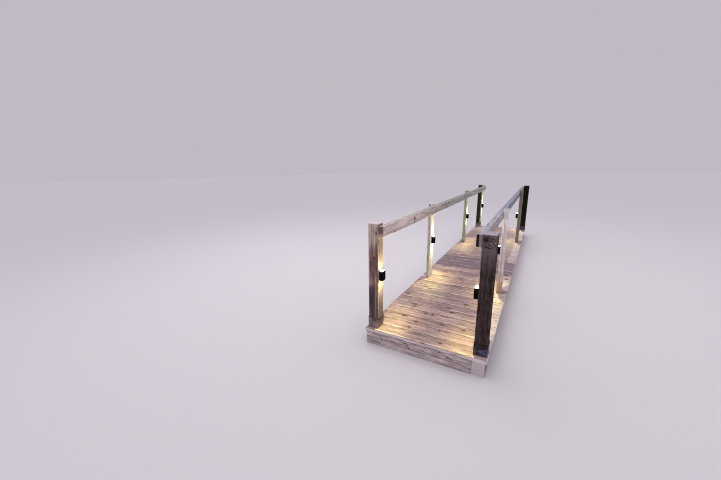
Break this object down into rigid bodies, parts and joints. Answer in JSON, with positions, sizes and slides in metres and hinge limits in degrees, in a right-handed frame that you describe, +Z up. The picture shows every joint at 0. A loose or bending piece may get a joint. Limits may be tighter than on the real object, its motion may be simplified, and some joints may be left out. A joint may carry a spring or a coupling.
{
  "type": "timber footbridge",
  "caption": "Straight timber garden footbridge: cross-laid deck boards on bearers, square posts carrying a plank handrail each side, and small up-and-down lamps on the posts' inner faces.",
  "frame": {"origin": "under the middle of the bridge, on the level ground that the bearers rest on", "axes": "+X to the right across the deck, +Y along the bridge away from the end that the picture shows nearest, +Z up"},
  "size_m": [1.07, 5.56, 1.143],
  "materials": {
    "timber_frame": "sawn softwood, untreated look",
    "timber_riser": "sawn softwood, greyed",
    "timber_end_block": "end grain, pale",
    "timber_deck": "planed softwood, fresh",
    "galvanised_shoe": "hot-dip galvanised",
    "timber_corner_post": "sawn softwood, brown",
    "timber_mid_post": "planed softwood",
    "timber_handrail": "planed softwood, silvery top",
    "lamp_black": "matt black powder coat",
    "lamp_glass": "frosted, lit warm white"
  },
  "bodies": {
    "root": {"bearer_left": "timber_frame", "bearer_middle": "timber_frame", "bearer_right": "timber_frame", "noggins": "timber_frame", "corner_block_front_left": "timber_frame", "corner_block_front_right": "timber_end_block", "corner_block_rear_left": "timber_frame", "corner_block_rear_right": "timber_frame", "riser_front": "timber_riser", "riser_rear": "timber_riser", "deck_boards_front": "timber_deck", "deck_boards_notched": "timber_deck", "deck_boards_middle": "timber_deck", "deck_boards_rear": "timber_deck", "post_shoe_front_left": "galvanised_shoe", "post_shoe_front_right": "galvanised_shoe", "post_shoe_rear_left": "galvanised_shoe", "post_shoe_rear_right": "galvanised_shoe", "post_front_left": "timber_corner_post", "post_front_right": "timber_corner_post", "post_rear_left": "timber_corner_post", "post_rear_right": "timber_corner_post", "mid_post_left_front": "timber_mid_post", "mid_post_left_rear": "timber_mid_post", "mid_post_right_front": "timber_mid_post", "mid_post_right_rear": "timber_mid_post", "handrail_left": "timber_handrail", "handrail_right": "timber_handrail", "lamp_left_1": "lamp_black", "lamp_left_2": "lamp_black", "lamp_left_3": "lamp_black", "lamp_left_4": "lamp_black", "lamp_right_1": "lamp_black", "lamp_right_2": "lamp_black", "lamp_right_3": "lamp_black", "lamp_right_4": "lamp_black", "lamp_glass_left": "lamp_glass", "lamp_glass_right": "lamp_glass"}
  },
  "joints": []
}
